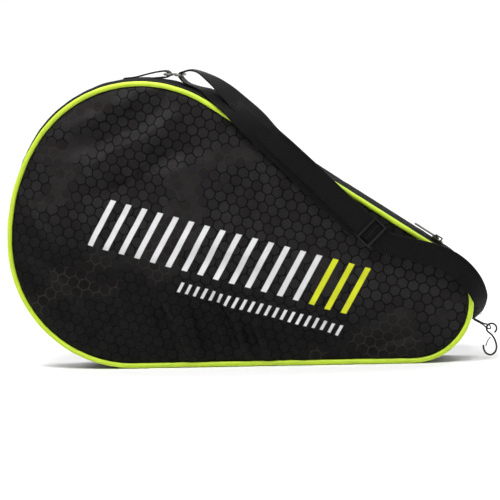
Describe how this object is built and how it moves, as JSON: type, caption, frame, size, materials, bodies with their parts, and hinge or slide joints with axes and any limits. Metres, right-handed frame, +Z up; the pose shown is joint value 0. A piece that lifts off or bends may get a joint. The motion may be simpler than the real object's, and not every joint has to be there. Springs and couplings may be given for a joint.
{
  "type": "paddle case",
  "caption": "Flat teardrop zip-up case for a racket-sport paddle, padded, with lime piping, a clip-on shoulder strap and a wire fence hook.",
  "frame": {"origin": "under the middle of the whole object's bounding box, on the surface that the case stands on", "axes": "+X from the round head towards the narrow tip, +Y from the front face to the rear face, +Z up"},
  "size_m": [0.4478, 0.0468, 0.2729],
  "materials": {
    "patterned_fabric": "black coated polyester with a printed honeycomb pattern, satin cells and fine dark lines",
    "foam": "closed-cell padding foam, sealed between skin and lining",
    "lining": "thin dark grey woven lining",
    "lime_piping": "lime green corded piping, smooth satin",
    "black_binding": "black corded binding",
    "gusset_fabric": "black woven polyester",
    "zip_tape": "black herringbone zip tape",
    "zip_nylon": "black nylon coil",
    "webbing": "black ribbed polypropylene webbing",
    "black_plastic": "black moulded acetal, lightly glossy",
    "dark_metal": "gunmetal plated zinc",
    "black_wire": "black coated spring wire"
  },
  "bodies": {
    "rear_shell": {"rear_outer_panel": "patterned_fabric", "rear_foam_pad": "foam", "rear_lining": "lining", "rear_binding": "black_binding", "rear_gusset_band": "gusset_fabric", "bottom_gusset": "gusset_fabric", "rear_zip_tape": "zip_tape", "rear_zip_coil": "zip_nylon", "rear_zip_top_stop": "dark_metal", "zip_bottom_stop": "dark_metal"},
    "front_cover": {"front_outer_panel": "patterned_fabric", "front_foam_pad": "foam", "front_lining": "lining", "front_piping": "lime_piping", "front_gusset_band": "gusset_fabric", "front_zip_tape": "zip_tape", "front_zip_coil": "zip_nylon", "front_zip_top_stop": "dark_metal", "top_loop": "webbing", "strap_hook_end": "webbing", "strap_sewn_end": "webbing", "snap_hook_strap_eye": "dark_metal", "fence_hook_loop": "webbing"},
    "snap_hook": {"snap_hook_body": "dark_metal", "snap_hook_swivel_post": "dark_metal"},
    "snap_gate": {"snap_hook_gate": "dark_metal"},
    "strap_middle": {"strap_middle": "webbing", "strap_return_layer": "webbing"},
    "strap_adjuster": {"tri_glide": "black_plastic"},
    "fence_hook": {"fence_hook_body": "black_wire"},
    "fence_gate": {"fence_hook_gate": "black_wire"},
    "slider": {"zip_slider": "dark_metal"},
    "pull": {"zip_pull": "dark_metal"}
  },
  "joints": [
    {"name": "cover_hinge", "type": "hinge", "parent": "rear_shell", "child": "front_cover", "pos_m": [0.0187, -0.0113, 0.00225], "axis": [1, 0, 0], "range_deg": [0, 75]},
    {"name": "zip_slide", "type": "slide", "parent": "rear_shell", "child": "slider", "axis": [-0.8251, 0, 0.565], "range_m": [0, 0.18]},
    {"name": "zip_pull_flip", "type": "hinge", "parent": "slider", "child": "pull", "pos_m": [0.17351, 0.00495, 0.11135], "axis": [0, 1, 0], "range_deg": [0, 90]},
    {"name": "strap_swing", "type": "hinge", "parent": "front_cover", "child": "strap_middle", "pos_m": [0.04157, -0.02005, 0.198], "axis": [-0.7824, 0, 0.6228], "range_deg": [0, 50]},
    {"name": "adjuster_slide", "type": "slide", "parent": "strap_middle", "child": "strap_adjuster", "axis": [-0.694, 0, 0.72], "range_m": [0, 0.06]},
    {"name": "snap_hook_swivel", "type": "hinge", "parent": "front_cover", "child": "snap_hook", "pos_m": [-0.06763, 0.00495, 0.2695], "axis": [0.9962, 0, -0.0872], "range_deg": [-8, 8]},
    {"name": "snap_gate_hinge", "type": "hinge", "parent": "snap_hook", "child": "snap_gate", "pos_m": [-0.06185, 0.01355, 0.26899], "axis": [0.0872, 0, 0.9962], "range_deg": [0, 20], "stiffness_Nm_per_rad": 0.01, "springref_deg": -11.46},
    {"name": "fence_hook_swing", "type": "hinge", "parent": "front_cover", "child": "fence_hook", "pos_m": [0.21807, 0.00495, 0.0315], "axis": [0, 1, 0], "range_deg": [-28, 28]},
    {"name": "fence_gate_flex", "type": "hinge", "parent": "fence_hook", "child": "fence_gate", "pos_m": [0.21747, 0.00495, 0.0196], "axis": [0, -1, 0], "range_deg": [0, 18], "stiffness_Nm_per_rad": 0.005, "springref_deg": -11.46}
  ]
}
